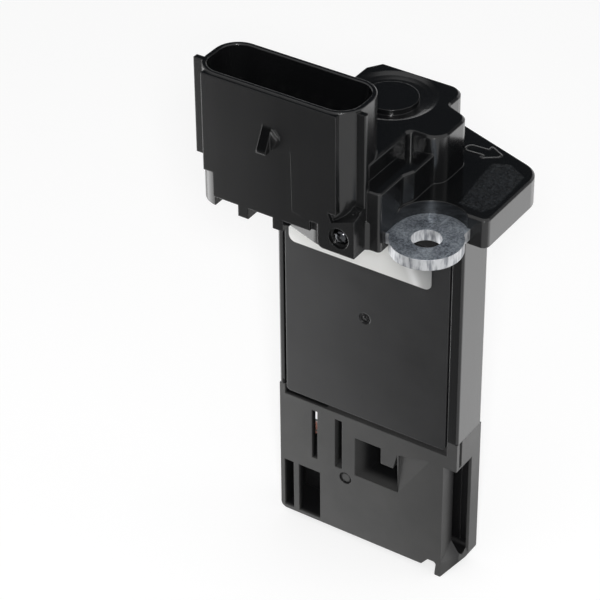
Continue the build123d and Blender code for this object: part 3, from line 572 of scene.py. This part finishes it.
def makeFlowArrow(finish):
    # raised outline of an arrow along the air flow: a low bead, its height the cube of a half sine
    f = flowArrow
    half = [(f["tail"], f["halfShaft"]), (f["neck"], f["halfShaft"]), (f["neck"], f["halfHead"]),
            (f["tip"], f["halfTip"])]
    outline = [(x, -side) for x, side in half] + [(x, side) for x, side in reversed(half)]
    radii = [f["tailRadius"] if x == f["tail"] else f["cornerRadius"] for x, side in outline]
    outline = [(x, f["middle"] + f["drift"] * (x - f["tail"]) + side) for x, side in outline]
    route = roundedRoute(outline, radii, f["cornerSteps"])
    along = np.roll(route, -1, axis=0) - np.roll(route, 1, axis=0)
    along /= np.linalg.norm(along, axis=1, keepdims=True)
    aside = np.stack([-along[:, 1], along[:, 0]], axis=1)
    turn = np.linspace(0, 2 * np.pi, f["beadSides"], endpoint=False)
    across = np.cos(turn) * f["width"] / 2
    up = np.where(np.sin(turn) > 0, np.sin(turn) ** 3 * f["height"], np.sin(turn) * f["sunk"])
    level = route[:, None, :] + aside[:, None, :] * across[None, :, None]
    height = np.broadcast_to(f["top"] + up, level.shape[:2])[..., None]
    points = np.concatenate([level, height], axis=2) * millimetre
    makePiece("flow_arrow", points, gridFaces(len(route), len(turn), True), finish)


# millimetres; the waves round the dome have these counts and sizes
gateStub = dict(
    x=-0.6, z=-23.8, floorY=-3.7, radius=0.62, height=0.22, sunk=0.03, rings=14, spokes=36, seed=5,
    waveCounts=(2, 3, 5, 7), waveSizes=(0.3, 0.25, 0.2, 0.15), phaseLimit=6, twist=5,
    ragged=0.18, fullness=0.75, torn=0.45,
)


def makeGateStub(finish):
    # torn stub of the moulding gate in the cover's dimple, a dome over share = 0 at its top to 1 at its rim:
    # radius = r * share * (1 + ragged waves * share)
    # rise = h * (1 - share^3) * (fullness + torn waves * share) - sunk * share^3
    f = gateStub
    rings, spokeCount = f["rings"], f["spokes"]
    rng = np.random.default_rng(f["seed"])
    share = np.linspace(0, 1, rings + 1)[1:, None]
    turn = np.linspace(0, 2 * np.pi, spokeCount, endpoint=False)[None, :]
    phases = rng.uniform(0, f["phaseLimit"], len(f["waveCounts"]))
    waves = sum(size * np.cos(count * turn + phase + f["twist"] * share)
                for count, size, phase in zip(f["waveCounts"], f["waveSizes"], phases))
    radius = f["radius"] * share * (1 + f["ragged"] * waves * share)
    fullness = f["fullness"] + f["torn"] * waves * share
    rise = (1 - share ** 3) * f["height"] * fullness - f["sunk"] * share ** 3
    x = f["x"] + radius * np.cos(turn)
    z = f["z"] + radius * np.sin(turn)
    dome = np.stack([x, f["floorY"] - rise, z], axis=2)
    # a point closes the top with triangles, and one face closes the base
    top = [[f["x"], f["floorY"] - f["fullness"] * f["height"], f["z"]]]
    points = np.concatenate([dome.reshape(-1, 3), top]) * millimetre
    spokes = np.arange(spokeCount)
    faces = [face[::-1] for face in gridFaces(rings, spokeCount, False)]
    tip = np.full_like(spokes, rings * spokeCount)
    faces += np.stack([spokes, np.roll(spokes, -1), tip], axis=1).tolist()
    faces.append((spokes[::-1] + (rings - 1) * spokeCount).tolist())
    makePiece("gate_stub", points, faces, finish)


def dressNodes(housing, cover):
    # each CAD node gets its finish
    bypass = bypassPlastic()
    lug = lugMetal()
    lid = cloudedFinish("sensorLid")
    tinned = cloudedFinish("tinnedWire")
    finishes = {
        "housing": housing, "front_cover": cover, "foil_sheet": foilMetal(),
        "bypass_body": bypass, "bypass_cover": bypass, "front_lug": lug, "rear_lug": lug,
        "vent_ball": ballSteel(), "circuit_board": boardLaminate(),
        "signal_chip": cloudedFinish("epoxyBlack"), "capacitors": capacitorCeramic(),
        "pressure_sensor": lid, "humidity_sensor": lid,
        "flow_chip": cloudedFinish("siliconChip"), "thermistor_bead": cloudedFinish("beadGlass"),
        "thermistor_leads": tinned,
    }
    for name, node in nodes.items():
        finish = tinned if name.startswith("terminal") else finishes[name]
        node.data.materials.clear()
        node.data.materials.append(finish)


housingMaterial = housingPlastic()
coverMaterial = coverPlastic()
dressNodes(housingMaterial, coverMaterial)
print("finishes on", len(nodes), "nodes")
makeFlowArrow(housingMaterial)
makeGateStub(coverMaterial)
print("flow arrow and gate stub made")


studio = dict(
    cameraPlace=(0.18804, -0.30699, 0.23379), azimuth=33.64, elevation=35.41, roll=-0.54,
    focalLength=157.62, sensorWidth=36.0, nearest=0.01,
    floorSize=6.0, floorColour=0.45, floorGlow=0.64, skyDiffuse=0.55,
    lampTarget=(0, 0, -0.02),
    flash=dict(place=(0.192, -0.305, 0.243), size=0.05, power=1.0),
    side=dict(place=(0.75, 0.35, 0.3), size=0.5, power=0.5),
    bounce=dict(place=(0.1, 0.09, -0.0733), size=0.14, power=0.057, target=(0.1, 0.09, 1.0)),
    flags=dict(
        backFlag=dict(corners=((-1.6, 0.7, 0.0), (-1.0, 0.7, 0.0), (-0.35, 0.7, 0.36), (0.8, 0.7, 0.36),
                               (0.8, 0.7, 1.3), (-1.6, 0.7, 1.3)), colour=(0.035, 0.041, 0.048)),
        frontFlag=dict(corners=((-0.9, -0.9, 0.0), (-0.05, -0.9, 0.0), (-0.05, -0.9, 0.5), (-0.9, -0.9, 0.5)),
                       colour=(0.01, 0.01, 0.01)),
        leftFlag=dict(corners=((-0.9, -0.9, 0.0), (-0.9, -0.9, 0.5), (-0.9, -0.2, 0.5), (-0.9, -0.2, 0.0)),
                      colour=(0.01, 0.01, 0.01)),
    ),
    # right, bend and behind place its edges; burntFull to far are distances from footX towards +X and -Y
    foreground=dict(reach=0.9, right=0.02, bend=-0.03, behind=0.004, lift=0.0002, footX=-0.06,
                    burntFull=0.018, burntEnd=0.045, near=0.055, far=0.1,
                    burntGrey=3.6, nearGrey=1.3, farGrey=0.2),
)


def grey(level):
    return (level,) * 3


def makeSky():
    # white where it is seen, softer where it only lights
    world = bpy.data.worlds.new("sky")
    bpy.context.scene.world = world
    s = Shader(world, "OutputWorld")
    low = studio["skyDiffuse"]
    strength = s.seenDirectly() * (1 - low) + low
    s.show(s.add("Background", inputs={"Color": (1, 1, 1), "Strength": strength}))


def addCard(name, corners, material):
    # a flat stage piece
    mesh = bpy.data.meshes.new(name)
    mesh.from_pydata(corners, [], [tuple(range(len(corners)))])
    mesh.materials.append(material)
    card = bpy.data.objects.new(name, mesh)
    bpy.context.collection.objects.link(card)
    return card


def makeFloor():
    # a plain pale floor at the sensor's lowest point: part lit, part glowing, so it keeps a soft shadow
    half = studio["floorSize"] / 2
    lowest = cadBox[0][2]
    s = newShader("floorWhite")
    lit = s.add("BsdfDiffuse", inputs={"Color": grey(studio["floorColour"])})
    glow = s.add("Emission", inputs={"Strength": s.seenDirectly() * studio["floorGlow"]})
    white = s.show(s.add("AddShader", inputs={0: lit, 1: glow}))
    corners = [(-half, -half, lowest), (half, -half, lowest), (half, half, lowest), (-half, half, lowest)]
    addCard("floor", corners, white)


def addMirrorCard(name, corners, colour, s):
    # a glowing card that only reflections see
    card = addCard(name, corners, s.show(s.add("Emission", inputs={"Color": colour})))
    card.visible_camera = card.visible_diffuse = card.visible_transmission = False
    card.visible_shadow = card.visible_volume_scatter = False


def addFlag(name, corners, colour):
    # a painted dark reflection: a dim glowing card standing like a studio flag, so that some faces mirror
    # dark instead of white
    addMirrorCard(name, corners, colour, newShader(name + "Cloth"))


def makeForeground():
    # painted reflection of the floor, on a glowing card that only reflections see: burnt out at the sensor's
    # upstream foot, and dimmer with distance from it
    f = studio["foreground"]
    s = newShader("foregroundGlow")
    away = s.axis("X") - f["footX"] - s.axis("Y")
    dimmed = s.blend(away.rise(f["near"], f["far"]), grey(f["nearGrey"]), grey(f["farGrey"]))
    dimmed = s.blend(away.rise(f["burntFull"], f["burntEnd"]), grey(f["burntGrey"]), dimmed)
    height = cadBox[0][2] + f["lift"]
    reach, right, behind = f["reach"], f["right"], f["behind"]
    corners = [(-reach, -reach, height), (right, -reach, height), (right, 0.0, height),
               (f["bend"], behind, height), (-reach, behind, height)]
    addMirrorCard("foreground", corners, dimmed, s)


def addLamp(name, place, size, power, target=studio["lampTarget"]):
    # a square soft lamp that faces its target
    lamp = bpy.data.lights.new(name, "AREA")
    lamp.size = size
    lamp.energy = power
    holder = bpy.data.objects.new(name, lamp)
    bpy.context.collection.objects.link(holder)
    towards = Vector(target) - Vector(place)
    holder.matrix_world = Matrix.Translation(place) @ towards.to_track_quat("-Z", "Y").to_matrix().to_4x4()
    holder.visible_camera = False


def makeCamera():
    # level turn, then tilt, then a slight roll
    lens = bpy.data.cameras.new("camera")
    lens.lens = studio["focalLength"]
    lens.sensor_width = studio["sensorWidth"]
    lens.clip_start = studio["nearest"]
    camera = bpy.data.objects.new("camera", lens)
    bpy.context.collection.objects.link(camera)
    turn = Matrix.Rotation(math.radians(studio["azimuth"]), 4, "Z")
    tilt = Matrix.Rotation(math.radians(90 - studio["elevation"]), 4, "X")
    roll = Matrix.Rotation(math.radians(studio["roll"]), 4, "Z")
    camera.matrix_world = Matrix.Translation(studio["cameraPlace"]) @ turn @ tilt @ roll
    bpy.context.scene.camera = camera


makeSky()
makeFloor()
for name in ("flash", "side", "bounce"):
    addLamp(name + "Lamp", **studio[name])
for name, flag in studio["flags"].items():
    addFlag(name, **flag)
makeForeground()
makeCamera()
bpy.context.scene.view_settings.view_transform = "Standard"
print("studio ready")
